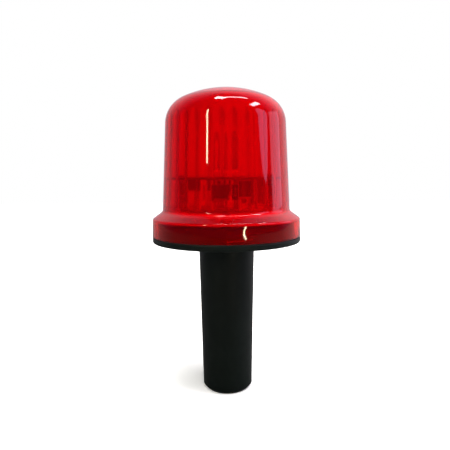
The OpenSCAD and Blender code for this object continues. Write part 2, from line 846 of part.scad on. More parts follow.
module trigger_coil_winding() {
    color([0.30, 0.12, 0.05])
        translate([trigger_coil_p.x, trigger_coil_p.y, 0])
            ring(1.8 + fit, coil_d / 2 - 0.7, board_z - coil_h + 1 + fit, coil_h - 2 - 2 * fit);
}

module trigger_capacitor() {
    color([0.20, 0.05, 0.04])
        translate([trigger_capacitor_p.x, trigger_capacitor_p.y, board_z - film_h])
            linear_extrude(film_h)
                rounded(film_l, film_t, 1.4);
}

// An aluminium can with the crimp that holds its bung
module timing_capacitor() {
    r = timing_d / 2;
    color([0.09, 0.12, 0.26])
        translate([timing_capacitor_p.x, timing_capacitor_p.y, board_z])
            mirror([0, 0, 1])
                rotate_extrude()
                    polygon(concat([[0, 0], [r, 0], [r, 1.4], [r - 0.3, 1.8], [r, 2.2]],
                                   fillet([r, 0], [r, timing_h], [0, timing_h], 0.6, 3), [[0, timing_h]]));
}

// The switching transistor, on its leads, with the drilled tab free below
module transistor_body() {
    color([0.06, 0.06, 0.07])
        translate([transistor_p.x - tab_w / 2, transistor_p.y - pack_t, board_z - stand_off - pack_h])
            cube([tab_w, pack_t, pack_h]);
}

module transistor_tab() {
    tab_h = pack_h + 6.6;
    color([0.74, 0.75, 0.76])
        translate([transistor_p.x, transistor_p.y, board_z - stand_off - tab_h])
            difference() {
                translate([-tab_w / 2, 0, 0])
                    cube([tab_w, tab_t, tab_h]);
                translate([0, -through, 2.8])
                    rotate([-90, 0, 0])
                        cylinder(r = 1.8, h = tab_t + 2 * through);
            }
}

// Small round parts that lie across the board: a place is x, y and turn, a size half length and radius
module lying(places, size) {
    for (p = places)
        translate([p.x, p.y, lie_z])
            rotate([0, 90, p.z])
                cylinder(r = size.y, h = 2 * size.x, center = true);
}

module rectifier_diodes() {
    color([0.07, 0.07, 0.08])
        lying(diodes, diode_size);
}

module resistors() {
    color([0.74, 0.60, 0.42])
        lying(resistors_at, resistor_size);
}

// Bent leads at both ends of the parts that lie down
module leads(places, size) {
    out = 1.4;
    for (p = places)
        translate([p.x, p.y, lie_z])
            for (side = [0, 180])
                rotate(p.z + side) {
                    translate([size.x, 0, 0])
                        rotate([0, 90, 0])
                            cylinder(r = lead_r, h = out);
                    translate([size.x + out, 0, -lead_r])
                        cylinder(r = lead_r, h = board_z - lie_z + lead_r);
                }
}

module component_leads() {
    color([0.80, 0.80, 0.78]) {
        leads(diodes, diode_size);
        leads(resistors_at, resistor_size);
        for (x = [-2.54, 0, 2.54])
            translate([transistor_p.x + x, transistor_p.y - pack_t / 2, board_z - stand_off])
                cylinder(r = lead_r, h = stand_off);
    }
}

// The flash tube: a glass U over the board, with a metal seal in the foot of each leg
module tube_solid(r) {
    for (x = [-bend_r, bend_r])
        translate([x, 0, leg_z])
            cylinder(r = r, h = leg_h);
    translate([0, 0, leg_z + leg_h])
        rotate([90, 0, 0])
            rotate_extrude(angle = 180)
                translate([bend_r, 0])
                    circle(r = r);
}

module flash_tube() {
    color([0.92, 0.95, 0.97, 0.35])
        rotate(-tube_turn)
            difference() {
                tube_solid(glass_r);
                tube_solid(glass_in);
            }
}

module tube_electrodes() {
    r = glass_in - fit;
    color([0.70, 0.70, 0.72])
        at_angles([-tube_turn, 180 - tube_turn], bend_r) {
            translate([0, 0, board_z - 1])
                cylinder(r = pin_r, h = leg_z - board_z + 1.5);
            translate([0, 0, leg_z + 0.1])
                cylinder(r = r, h = 4);
            translate([0, 0, leg_z + 4])
                cylinder(r = 0.6 * r, h = 2.2);
        }
}

module tube_sockets() {
    cup_r = glass_r + fit;
    rim_r = glass_r + 2;
    bore = pin_r + 0.1;
    color([0.90, 0.90, 0.88])
        at_angles([-tube_turn, 180 - tube_turn], bend_r)
            rotate_extrude()
                polygon([[bore, board_top], [rim_r, board_top], [rim_r, leg_z + 1], [rim_r - 0.8, leg_z + 2],
                         [cup_r, leg_z + 2], [cup_r, leg_z], [bore, leg_z]]);
}

function trigger_helix() =
    let (r = glass_r + trigger_d / 2 + fit, low = leg_z + 3.5, pitch = (leg_h - 6) / trigger_turns)
    [for (i = [1:16 * trigger_turns])
        let (a = 180 + 22.5 * i)
        [r * cos(a), r * sin(a), low + pitch * i / 16]];

// Bare wire up from the board and round the rear leg, which fires the tube
module trigger_wire() {
    r = glass_r + trigger_d / 2 + fit;
    out = r + 4;
    low = leg_z + 3.5;
    echo(trigger_wire_gap = least_gap(trigger_helix(), trigger_d / 2, 16));
    color([0.82, 0.82, 0.80])
        rotate(-tube_turn)
            translate([-bend_r, 0, 0])
                sweep(concat([[-out, 0, board_top], [-out, 0, board_top + 1], [-out, 0, low - 2.5],
                              [1 - out, -0.2, low - 1.2], [-r - 1.2, -0.3, low - 0.4]], trigger_helix()),
                      trigger_d / 2, 6, [0.02, 1, 0.05]);
}

// Push switch: the body stands inside, its bush pokes out through the flange and takes the nut
module switch_body() {
    color([0.10, 0.10, 0.10])
        translate([0, switch_r, bush_top])
            linear_extrude(switch_h)
                rounded(switch_w, switch_l, 1.5);
}

module switch_bush() {
    brim = bush_r + 1.8;
    bore = button_r + run;
    wide = head_r + run;
    color([0.78, 0.78, 0.79])
        translate([0, switch_r, 0])
            rotate_extrude()
                polygon([[bore, bush_z], [bush_r - 0.5, bush_z], [bush_r, bush_z + 0.5], [bush_r, seal_z],
                         [brim, seal_z], [brim, bush_top], [wide, bush_top], [wide, lip_z], [bore, lip_z]]);
}

module switch_seal() {
    color([0.13, 0.13, 0.13])
        translate([0, switch_r, 0])
            ring(bush_r + 2 * fit, bush_r + 2.2, plate_z, switch_seal_t);
}

module switch_nut() {
    color([0.78, 0.78, 0.79])
        translate([0, switch_r, nut_z])
            difference() {
                cylinder(d = nut_d, h = nut_t, $fn = 6);
                translate([0, 0, -through])
                    cylinder(r = bush_r + 2 * fit, h = nut_t + 2 * through);
            }
}

module switch_button() {
    foot = tube_len - button_h;
    color([0.75, 0.08, 0.07])
        translate([0, switch_r, 0])
            rotate_extrude()
                polygon(concat([[0, foot]],
                               fillet([0, foot], [button_r, foot], [button_r, lip_z], 0.9, 4),
                               [[button_r, lip_z + fit], [head_r, lip_z + fit],
                                [head_r, head_z], [0, head_z]]));
}

function switch_spring_path() =
    let (steps = 48, r = button_r - 0.8,
         low = head_z + switch_wire_t / 2, high = bush_top - switch_wire_t / 2)
    [for (i = [0:steps])
        let (s = i / steps, lift = min(1, max(0, (s - 0.12) / 0.76)), a = 22.5 * i)
        [r * cos(a), r * sin(a), low + (high - low) * lift]];

module switch_spring() {
    path = switch_spring_path();
    echo(switch_spring_gap = least_gap(path, switch_wire_t / 2, 16));
    color([0.80, 0.80, 0.79])
        translate([0, switch_r, 0])
            sweep(path, switch_wire_t / 2, 6);
}

module switch_terminals() {
    color([0.82, 0.80, 0.70])
        for (x = [-blade_x, blade_x])
            translate([x - blade_w / 2, switch_r - 0.3, body_top])
                cube([blade_w, 0.6, blade_h]);
}

// An insulated wire through the given points, which run straight at both ends
module wire(points, shade) {
    color(shade)
        sweep(concat(smooth(points), [points[len(points) - 1]]), wire_d / 2, 8, [0.31, 0.87, 0.12]);
}

wire_r = wire_d / 2;
touch = 0.02;
solder_z = blade_z - 1.2;
blade_side = blade_x + blade_w / 2 + wire_r + touch;
under_tab = contact_z - wire_r - touch;

// From the positive tab to the switch
module battery_wire() {
    start = collar_out + 0.7 * wire_d;
    wire([[0, start, under_tab], [-wire_d, start + wire_r / 2, under_tab - 0.1],
          [-3 * wire_d, start + 1.5 * wire_d, under_tab - wire_r],
          [-5 * wire_d, start + 3 * wire_d, solder_z + wire_r],
          [-blade_side - wire_r, switch_r - 1.5 * wire_d, solder_z],
          [-blade_side, switch_r, solder_z]], [0.70, 0.06, 0.05]);
}

// Up from a hole in the deck to the board, straight where it passes each of them
function riser(hole, lean) =
    concat([for (z = [deck_z - wire_r, deck_top + wire_r]) [hole.x, hole.y, z]],
           [[hole.x + 0.6 * lean.x, hole.y + 0.6 * lean.y, (deck_top + board_z) / 2]],
           [for (z = [board_z - 2.5 * wire_d, board_z - wire_r, board_z - touch])
               [hole.x + lean.x, hole.y + lean.y, z]]);

// From the switch up through the deck to the board
module switch_wire() {
    wire(concat([[blade_side, switch_r, solder_z], [blade_side + wire_r, switch_r, solder_z + wire_r / 2]],
                riser(switch_wire_hole, [wire_r, -3 * wire_d])), [0.85, 0.85, 0.83]);
}

// From the negative tab up through the deck to the board
module negative_wire() {
    start = collar_out + tab_l;
    wire(concat([[-start, 0, under_tab], [-start - wire_d, wire_r, under_tab - 0.1]],
                riser(negative_wire_hole, [wire_r, 1.5 * wire_d])), [0.10, 0.10, 0.11]);
}

base_housing();
lens();
lens_gasket();
contact_spring();
negative_strip();
cell_can(cell_z);  // lower_cell_can
cell_mix(cell_z);  // lower_cell_mix
cell_rod(cell_z);  // lower_cell_rod
cell_jacket(cell_z);  // lower_cell_jacket
cell_seal(cell_z);  // lower_cell_seal
cell_cap(cell_z);  // lower_cell_cap
cell_can(upper_z);  // upper_cell_can
cell_mix(upper_z);  // upper_cell_mix
cell_rod(upper_z);  // upper_cell_rod
cell_jacket(upper_z);  // upper_cell_jacket
cell_seal(upper_z);  // upper_cell_seal
cell_cap(upper_z);  // upper_cell_cap
deck();
deck_screws();
positive_contact();
negative_contact();
contact_rivets();
board_pillars();
circuit_board();
board_screws();
transformer_core();
transformer_bobbin();
transformer_winding();
capacitor_can();
capacitor_sleeve();
trigger_coil_bobbin();
trigger_coil_winding();
trigger_capacitor();
timing_capacitor();
transistor_body();
transistor_tab();
rectifier_diodes();
resistors();
component_leads();
flash_tube();
tube_electrodes();
tube_sockets();
trigger_wire();
switch_body();
switch_bush();
switch_seal();
switch_nut();
switch_button();
switch_spring();
switch_terminals();
battery_wire();
switch_wire();
negative_wire();
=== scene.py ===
"""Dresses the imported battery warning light: a red fluted lens on a black housing, with two cells and
a flash circuit inside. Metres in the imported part's own frame, so mm turns every size into metres."""
import math

import bpy
from mathutils import Matrix, Vector


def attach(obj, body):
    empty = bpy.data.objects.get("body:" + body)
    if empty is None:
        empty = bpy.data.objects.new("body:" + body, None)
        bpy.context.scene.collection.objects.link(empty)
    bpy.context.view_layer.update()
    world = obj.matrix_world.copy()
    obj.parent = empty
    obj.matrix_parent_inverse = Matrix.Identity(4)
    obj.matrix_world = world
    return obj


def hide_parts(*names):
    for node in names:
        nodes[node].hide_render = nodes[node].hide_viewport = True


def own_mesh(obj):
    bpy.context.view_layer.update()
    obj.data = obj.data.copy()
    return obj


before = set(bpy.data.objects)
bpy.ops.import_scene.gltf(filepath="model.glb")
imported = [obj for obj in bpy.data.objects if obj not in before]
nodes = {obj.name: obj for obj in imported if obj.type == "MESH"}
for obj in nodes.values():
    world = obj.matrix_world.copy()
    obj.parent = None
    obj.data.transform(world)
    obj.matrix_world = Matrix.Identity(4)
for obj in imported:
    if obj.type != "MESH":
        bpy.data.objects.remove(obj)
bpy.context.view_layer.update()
scene = bpy.context.scene
mm = 0.001


# The camera. It stands close to the light and a little above its flange, so the far side of the
# skirt shows less than the near one. Its lens, its place and its slight roll are the photograph's,
# and the lengths that end in px are in the photograph's pixels.
picture_px, focal_px, right_px, up_px = 450, 402, -1.53, 16.23
camera_reach, aim_z = 312 * mm, 117 * mm
look_down, roll = math.radians(8.33), math.radians(-0.5)
bpy.ops.object.camera_add()
camera = bpy.context.object
camera.name = "camera"
camera.data.sensor_width = 36
camera.data.lens = focal_px * camera.data.sensor_width / picture_px
camera.data.shift_x = right_px / picture_px
camera.data.shift_y = up_px / picture_px
camera.data.clip_start = 0.01
away, above = camera_reach * math.cos(look_down), camera_reach * math.sin(look_down)
camera.matrix_world = (
    Matrix.Translation((0, -away, aim_z + above))
    @ Matrix.Rotation(math.pi / 2 - look_down, 4, "X")
    @ Matrix.Rotation(roll, 4, "Z"))
scene.camera = camera
scene.view_settings.view_transform = "Standard"


# The housing: flange, upstand, bosses and battery tube in one injection moulding of black ABS. Its
# tool was lightly spark-eroded, so it has a fine matt grain, rubbed smoother where hands hold it.
def linear(code):
    """An sRGB hex colour as the linear colour that a shader takes."""
    parts = [int(code[i:i + 2], 16) / 255 for i in (1, 3, 5)]
    return [c / 12.92 if c <= 0.04045 else ((c + 0.055) / 1.055) ** 2.4 for c in parts] + [1.0]


def add(finish, kind, sockets=(), **settings):
    """Adds a node to a material with its settings. A node or a socket given for a socket is linked."""
    node = finish.node_tree.nodes.new("ShaderNode" + kind)
    for key, value in settings.items():
        setattr(node, key, value)
    for key, value in dict(sockets).items():
        socket = node.inputs[key] if isinstance(key, int) else next(
            s for s in node.inputs if s.enabled and s.name == key)
        if isinstance(value, bpy.types.Node):
            value = next(s for s in value.outputs if s.enabled)
        if isinstance(value, bpy.types.NodeSocket):
            finish.node_tree.links.new(value, socket)
        elif isinstance(value, str):
            socket.default_value = linear(value)
        else:
            socket.default_value = value
    return node


def new_finish(name):
    """An empty material, and the place in metres on the piece that wears it."""
    finish = bpy.data.materials.new(name)
    finish.use_nodes = True
    finish.node_tree.nodes.clear()
    return finish, add(finish, "TexCoord").outputs["Object"]


def noise(finish, place, scale, detail, roughness=0.5):
    """Noise with a number of cells to the metre."""
    return add(finish, "TexNoise", {"Vector": place, "Scale": scale, "Detail": detail,
                                    "Roughness": roughness})


def ramp(finish, value, start, end, low=0, high=1, **settings):
    """A number that goes from low to high while the value goes from start to end."""
    return add(finish, "MapRange", {"Value": value, "From Min": start, "From Max": end,
                                    "To Min": low, "To Max": high}, **settings)


def blend(finish, share, a, b, kind="RGBA"):
    """A mix of a with a share of b: two colours, or two numbers where the kind is FLOAT."""
    return add(finish, "Mix", {"Factor": share, "A": a, "B": b}, data_type=kind)


def bumps(finish, height, strength, depth):
    """The normal of a relief with a depth in mm."""
    return add(finish, "Bump", {"Height": height, "Strength": strength, "Distance": depth * mm})


def surface(finish, sockets):
    """Gives a material its principled shader."""
    shader = add(finish, "BsdfPrincipled", sockets)
    add(finish, "OutputMaterial", {"Surface": shader})
    return finish


def moulded(name, dark, light, grain, rough, sheen=0.5, ior=1.5, relief=0.02):
    """Moulded plastic or rubber: a faint cloudiness, a tool grain of a size in mm, and rubbed patches."""
    finish, place = new_finish(name)
    tone = blend(finish, noise(finish, place, 60, 3), dark, light)
    rubbed = noise(finish, place, 25, 5, 0.65)
    gloss = ramp(finish, rubbed, 0.3, 0.7, rough - 0.06, rough + 0.08)
    pits = noise(finish, place, 1 / (grain * mm), 2)
    return surface(finish, {"Base Color": tone, "Roughness": gloss, "Specular IOR Level": sheen,
                            "IOR": ior, "Normal": bumps(finish, pits, 0.5, relief)})


def dress(finish, *names):
    """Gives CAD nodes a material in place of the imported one."""
    for name in names:
        slots = nodes[name].data.materials
        slots.clear()
        slots.append(finish)


black_moulding = moulded("black ABS, injection moulded with a fine spark grain", "#040c09", "#0a1410",
                         grain=0.35, rough=0.42, sheen=0.26, ior=1.53, relief=0.012)
dress(black_moulding, "base_housing")


# The thread that holds the lens: four ribs moulded outside the upstand, each a sixth of a turn long.
# One turn of the lens climbs 24 mm, so a third of a turn frees it.
def only(piece):
    """Selects one piece alone and makes it active."""
    bpy.ops.object.select_all(action="DESELECT")
    piece.select_set(True)
    bpy.context.view_layer.objects.active = piece


def edit_all():
    """Opens the active piece in edit mode with all of it selected."""
    bpy.ops.object.mode_set(mode="EDIT")
    bpy.ops.mesh.select_all(action="SELECT")


def smooth(degrees):
    """Leaves edit mode and shades the piece smooth over edges up to an angle."""
    bpy.ops.object.mode_set(mode="OBJECT")
    bpy.ops.object.shade_smooth_by_angle(angle=math.radians(degrees))


thread_lead, thread_starts, rib_width = 24, 4, 1.3


def thread_rib(name, r_in, r_out, low, span):
    """Ribs along a right-hand screw, each spun from the upright face of a rib's section."""
    bpy.ops.mesh.primitive_plane_add(size=1, rotation=(math.pi / 2, 0, 0))
    rib = bpy.context.object
    rib.name = name
    bpy.ops.object.transform_apply(location=True, rotation=True, scale=True)
    for v in rib.data.vertices:
        # The section tapers to half its width away from the wall that it stands on
        r, half_width = (r_out, rib_width / 4) if v.co.x > 0 else (r_in, rib_width / 2)
        v.co = (r * mm, 0, (low + math.copysign(half_width, v.co.z)) * mm)
    edit_all()
    bpy.ops.mesh.delete(type="ONLY_FACE")
    bpy.ops.object.mode_set(mode="OBJECT")
    screw = rib.modifiers.new("screw", "SCREW")
    screw.angle = math.radians(span)
    screw.screw_offset = thread_lead * span / 360 * mm
    screw.steps = screw.render_steps = 24
    bpy.ops.object.modifier_apply(modifier="screw")
    edit_all()
    bpy.ops.mesh.fill_holes(sides=4)
    bpy.ops.mesh.select_all(action="SELECT")
    bpy.ops.mesh.normals_make_consistent(inside=False)
    for _ in range(thread_starts - 1):
        bpy.ops.mesh.duplicate()
        bpy.ops.transform.rotate(value=2 * math.pi / thread_starts, orient_axis="Z",
                                 center_override=(0, 0, 0))
    smooth(35)
    return rib


upstand_thread = thread_rib("upstand_thread", r_in=51.6, r_out=52.9, low=126.6, span=60)
upstand_thread.data.materials.append(black_moulding)
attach(upstand_thread, "base")


# The contact spring under the lower cell: a cone of bright plated music wire, wound cold, its wide
# turn flat on the negative strip and its narrow turn against the cell's can.
def coil_line(r_low, r_high, low, high, turns, flat, steps, y=0):
    """Points of a spring in mm, which lies level over the flat share of its length at both ends."""
    line = []
    for i in range(steps + 1):
        share = i / steps
        r, angle = r_low + (r_high - r_low) * share, share * turns * 2 * math.pi
        climb = min(1, max(0, (share - flat) / (1 - 2 * flat)))
        line.append((r * math.cos(angle), y + r * math.sin(angle), low + (high - low) * climb))
    return line


def bent_wire(name, points, thickness, sides=5):
    """A round wire along points in mm, with closed ends."""
    path = bpy.data.curves.new(name, "CURVE")
    path.dimensions = "3D"
    path.bevel_depth = thickness / 2 * mm
    path.bevel_resolution = sides
    path.use_fill_caps = True
    spline = path.splines.new("POLY")
    spline.points.add(len(points) - 1)
    for point, place in zip(spline.points, points):
        point.co = (place[0] * mm, place[1] * mm, place[2] * mm, 1)
    wire = bpy.data.objects.new(name, path)
    scene.collection.objects.link(wire)
    only(wire)
    bpy.ops.object.convert(target="MESH")
    edit_all()
    bpy.ops.mesh.remove_doubles(threshold=0.001 * mm)
    bpy.ops.mesh.normals_make_consistent(inside=False)
    smooth(50)
    return bpy.context.object


def drawn_metal(name, dark, light, rough, streak=0.25, along=(1, 1, 0.08), tarnish=0.5):
    """Bare or plated metal: streaks of a size in mm from drawing or rolling, and patches of tarnish."""
    finish, place = new_finish(name)
    lie = add(finish, "Mapping", {"Vector": place, "Scale": along})
    streaks = noise(finish, lie, 1 / (streak * mm), 3)
    patches = noise(finish, place, 180, 5, 0.6)
    dull = ramp(finish, patches, 0.45, 0.75, high=tarnish)
    return surface(finish, {"Base Color": blend(finish, dull, light, dark), "Metallic": 1,
                            "Roughness": ramp(finish, patches, 0.3, 0.7, rough, rough + 0.18),
                            "Normal": bumps(finish, streaks, 0.4, 0.004)})


spring_foot, spring_top, spring_r = 3.5, 12.5, 10.416
spring_steel = drawn_metal("music wire, bright nickel plated", "#8d8a82", "#cfccc4", rough=0.22, streak=0.12)
contact_spring = bent_wire("contact_spring_wire", coil_line(
    spring_r, spring_r / 2, spring_foot, spring_top, turns=4, flat=0.1, steps=192), thickness=1)
contact_spring.data.materials.append(spring_steel)
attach(contact_spring, "base")
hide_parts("contact_spring")


# The negative strip, both contact leaves and their rivets: half-hard brass, stamped and bent, with
# the rolling's streaks along the strip and a brown tarnish that keeps off the rubbed places.
contact_brass = drawn_metal("half-hard brass strip, stamped and lightly tarnished", "#7d5c24", "#d9b762",
                            rough=0.28, streak=0.3, tarnish=0.7)
dress(contact_brass, "negative_strip", "positive_contact", "negative_contact", "contact_rivets")


# The two D-size cells: a drawn zinc can full of black mix round a carbon rod, a printed tinplate
# jacket rolled over a bitumen seal, and a pressed tinplate cap. The print is plain bands.
def calc(finish, operation, *values):
    """One step of arithmetic."""
    return add(finish, "Math", enumerate(values), operation=operation)


zinc = drawn_metal("zinc, drawn and dulled by its own oxide", "#6f7274", "#a9acad", rough=0.45, streak=0.5,
                   along=(1, 1, 0.03), tarnish=0.9)
dress(zinc, "lower_cell_can", "upper_cell_can")

manganese_mix = moulded("manganese dioxide and carbon mix, pressed and crumbly", "#0c0b0a", "#2a2622",
                        grain=0.9, rough=0.86, sheen=0.2, relief=0.25)
dress(manganese_mix, "lower_cell_mix", "upper_cell_mix")

baked_carbon = moulded("baked carbon rod, extruded and waxed", "#18181a", "#2c2c30", grain=0.4, rough=0.5)
dress(baked_carbon, "lower_cell_rod", "upper_cell_rod")

bitumen = moulded("bitumen seal, poured and set", "#0a0908", "#1d1a17", grain=1.2, rough=0.32, relief=0.05)
dress(bitumen, "lower_cell_seal", "upper_cell_seal")

# The upper cell repeats the lower one's print, so a band's place is a share of one cell's height
cell_foot, cell_height = 13.0, 61.2
cream_middle, cream_half = 0.69, 0.075
gold_middle, gold_half, gold_end = 0.60, 0.008, 0.945
jacket, place = new_finish("tinplate jacket, printed in plain bands under varnish")
height = add(jacket, "SeparateXYZ", {0: place}).outputs["Z"]
up = calc(jacket, "FRACT", ramp(jacket, height, cell_foot * mm, (cell_foot + cell_height) * mm, clamp=False))
cream_band = calc(jacket, "COMPARE", up, cream_middle, cream_half)
gold_line = calc(jacket, "COMPARE", up, gold_middle, gold_half)
gold_ends = calc(jacket, "GREATER_THAN", up, gold_end)
scuffs = noise(jacket, place, 350, 6, 0.7)
worn = ramp(jacket, scuffs, 0.66, 0.72)
ink = blend(jacket, noise(jacket, place, 900, 2), "#1c3a6e", "#254882")
for share, colour in ((cream_band, "#d8d2c0"), (gold_line, "#a8853c"), (gold_ends, "#a8853c"),
                      (worn, "#9a9a96")):
    ink = blend(jacket, share, ink, colour)
surface(jacket, {"Base Color": ink, "Metallic": calc(jacket, "MAXIMUM", gold_line, gold_ends),
                 "Roughness": ramp(jacket, scuffs, 0.3, 0.7, 0.18, 0.4),
                 "Coat Weight": 0.5, "Coat Roughness": 0.12})
dress(jacket, "lower_cell_jacket", "upper_cell_jacket")

tinplate = drawn_metal("tinplate, pressed", "#8f8f8b", "#d3d3cf", rough=0.2, streak=0.4)
dress(tinplate, "lower_cell_cap", "upper_cell_cap")


# The deck over the tube's mouth: a disc of white ABS that throws the flash up and out, moulded with
# the collar that centres it on the tube and the pads that the board's pillars stand on.
white_moulding = moulded("white ABS, injection moulded", "#d6d3c8", "#e4e1d8", grain=0.4, rough=0.36,
                         ior=1.53)
dress(white_moulding, "deck")


# The screws that hold the deck and the board: steel, cold headed, zinc plated and passivated, so
# they are a grey silver that leans to blue and straw.
screw_zinc, place = new_finish("steel screws, zinc plated and clear passivated")
tint = noise(screw_zinc, place, 500, 2)
specks = noise(screw_zinc, place, 4000, 2)
surface(screw_zinc, {"Base Color": blend(screw_zinc, tint, "#a9b2bd", "#c2bca6"), "Metallic": 1,
                     "Roughness": ramp(screw_zinc, specks, 0.3, 0.7, 0.24, 0.4)})
dress(screw_zinc, "deck_screws", "board_screws")


# The board's pillars: hexagonal brass bar, turned and tapped, with the drawing lines along its flats.
# Three of them stand on the deck and carry the board near its rim.
pillar_brass = drawn_metal("free-cutting brass bar, drawn", "#8f6d2e", "#dcbf70", rough=0.2, streak=0.2,
                           tarnish=0.4)
dress(pillar_brass, "board_pillars")


# The circuit board: a disc of paper laminate bonded with phenolic resin, punched round. Its copper is
# left in wide lands with narrow gaps, under green lacquer, and its cut edge is brown and dry.
board_under, board_over = 163.9, 165.5
# A land is about 13 mm across. From its border, in shares of that, the bare gap ends and the land begins
land_size, gap_end, land_start = 13, 0.022, 0.032
board, place = new_finish("phenolic paper laminate, etched copper under green lacquer")
level = add(board, "Mapping", {"Vector": place, "Scale": (1, 1, 0)})
borders = add(board, "TexVoronoi", {"Vector": level, "Scale": 1 / (land_size * mm), "Randomness": 0.85},
              feature="DISTANCE_TO_EDGE")
copper = ramp(board, borders.outputs["Distance"], gap_end, land_start)
over_copper = blend(board, noise(board, level, 1 / (12 * mm), 1), "#1b6538", "#2a8048")
etched = blend(board, copper, "#133d26", over_copper)
thick = ramp(board, noise(board, place, 120, 4), 0.4, 0.8, high=0.6)
lacquer = blend(board, thick, etched, "#0f4a28")
facing = add(board, "SeparateXYZ", {0: add(board, "NewGeometry").outputs["Normal"]}).outputs["Z"]
flat = calc(board, "GREATER_THAN", calc(board, "ABSOLUTE", facing), 0.5)
layers = add(board, "Mapping", {"Vector": place, "Scale": (1, 1, 12)})
edge = blend(board, noise(board, layers, 400, 3), "#5a3c22", "#8a643a")
surface(board, {"Base Color": blend(board, flat, edge, lacquer),
                "Roughness": ramp(board, flat, 0, 1, 0.8, 0.22), "Normal": bumps(board, copper, 0.6, 0.035)})
dress(board, "circuit_board")


# The solder joints on the board's upper face, one over each lead and pin that comes up from below:
# a cone of tin and lead that wets its pad and climbs the cut end of the lead.
pad_r, pad_t, pad_lift = 1.25, 0.16, 0.05
solder = drawn_metal("tin and lead solder, set bright", "#8a8c8e", "#c9cbcc", rough=0.24, streak=1.0,
                     along=(1, 1, 1))
bpy.ops.mesh.primitive_cylinder_add(vertices=16, radius=pad_r * mm, depth=pad_t * mm,
                                    location=(0, 0, board_over * mm + pad_lift * mm))
joint = bpy.context.object
joint.name = "solder_joints"
bpy.ops.object.transform_apply(location=True, rotation=True, scale=True)
bpy.ops.object.mode_set(mode="EDIT")
for narrowing, climb in ((0.62, 0.26), (0.6, 0.38), (0.72, 0.42), (0.86, 0.16)):
    # Each ring of the fillet is narrower than the one below it, and the last two make the lead's end
    bpy.ops.mesh.select_all(action="DESELECT")
    bpy.ops.object.mode_set(mode="OBJECT")
    top = max(v.co.z for v in joint.data.vertices)
    for face in joint.data.polygons:
        face.select = face.normal.z > 0.9 and abs(face.center.z - top) < 0.001 * mm
    bpy.ops.object.mode_set(mode="EDIT")
    bpy.ops.mesh.extrude_region_move(TRANSFORM_OT_translate={"value": (0, 0, climb * mm)})
    bpy.ops.transform.resize(value=(narrowing, narrowing, 1), center_override=(0, 0, board_over * mm))
smooth(50)

# A component's place is in shares of the pillars' ring, and its leads' places from there in mm
pillar_ring = 34.287
joint_places = []
for x, y, *leads in (
        (-0.09, -0.5, (-4.61, -6.1), (-4.61, 6.1), (4.61, -6.1), (4.61, 6.1)),  # transformer
        (-0.145, -0.115, (-4, 0), (4, 0)), (-0.145, 0, (-4, 0), (4, 0)),  # diodes
        (-0.115, 0.28, (-4.6, 0), (4.6, 0)), (-0.115, 0.38, (-4.6, 0), (4.6, 0)),  # resistors along X
        (-0.115, 0.48, (-4.6, 0), (4.6, 0)),
        (-0.525, 0.26, (0, -4.6), (0, 4.6)), (-0.64, 0.26, (0, -4.6), (0, 4.6)),  # resistors along Y
        (-0.09, -0.905, (-2.54, -1.6), (0, -1.6), (2.54, -1.6)),  # transistor
        (0.58, -0.26, (0, -2.5), (0, 2.5)), (-0.715, -0.235, (-5, 0), (5, 0)),  # storage, trigger capacitor
        (0.44, 0.41, (-1.8, 0), (1.8, 0)),  # timing capacitor
        (0.335, -0.79, (0, 3.2), (0, -3.2), (-2.9, 0)),  # trigger coil
        (0, 0, (9.8, 31.2), (-30.2, 5.4))):  # ends of the white and the black wire
    joint_places += [(x * pillar_ring + right, y * pillar_ring + back) for right, back in leads]
only(joint)
for x, y in joint_places[1:]:
    copy = joint.copy()
    copy.data = joint.data.copy()
    scene.collection.objects.link(copy)
    copy.location = (x * mm, y * mm, 0)
    copy.select_set(True)
joint.location = (joint_places[0][0] * mm, joint_places[0][1] * mm, 0)
bpy.ops.object.join()
bpy.ops.object.transform_apply(location=True, rotation=True, scale=True)
joint.data.materials.append(solder)
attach(joint, "base")


# The inverter transformer and the trigger coil: two pressed and ground ferrite halves, nylon bobbins,
# and enamelled copper wound in level layers, whose turns show as fine rings.
ferrite = moulded("ferrite, pressed and sintered, ground on its faces", "#2c2c30", "#434348", grain=0.25,
                  rough=0.5)
dress(ferrite, "transformer_core")
nylon = moulded("natural nylon, moulded", "#cfc9b2", "#ded9c6", grain=0.5, rough=0.38)
dress(nylon, "transformer_bobbin", "trigger_coil_bobbin")

# The scale at which a wave texture's rings are 1 m apart
ring_scale = 0.314159
for owner, dark, light, pitch in (("transformer_winding", "#7a3c12", "#c9793a", 0.42),
                                  ("trigger_coil_winding", "#3e160a", "#8a3d1c", 0.3)):
    # Wire of 0.2 and 0.08 mm, its turns drawn as coarse as shows
    finish, place = new_finish("enamelled copper of the " + owner.replace("_", " "))
    turns = add(finish, "TexWave", {"Vector": place, "Scale": ring_scale / (pitch * mm), "Distortion": 0.4,
                                    "Detail": 1}, wave_type="BANDS", bands_direction="Z").outputs["Fac"]
    # The rings are painted light and shade: each turn's crest is a painted highlight and the groove beside
    # it painted shade, stronger in patches
    painted_ring_light = ramp(finish, noise(finish, place, 300, 3), 0.3, 0.7, low=0.2)
    tone = blend(finish, calc(finish, "MULTIPLY", turns, painted_ring_light), dark, light)
    surface(finish, {"Base Color": tone, "Metallic": 0.75, "Roughness": 0.3, "Coat Weight": 0.6,
                     "Coat Roughness": 0.15, "Normal": bumps(finish, turns, 0.8, 0.08)})
    dress(finish, owner)


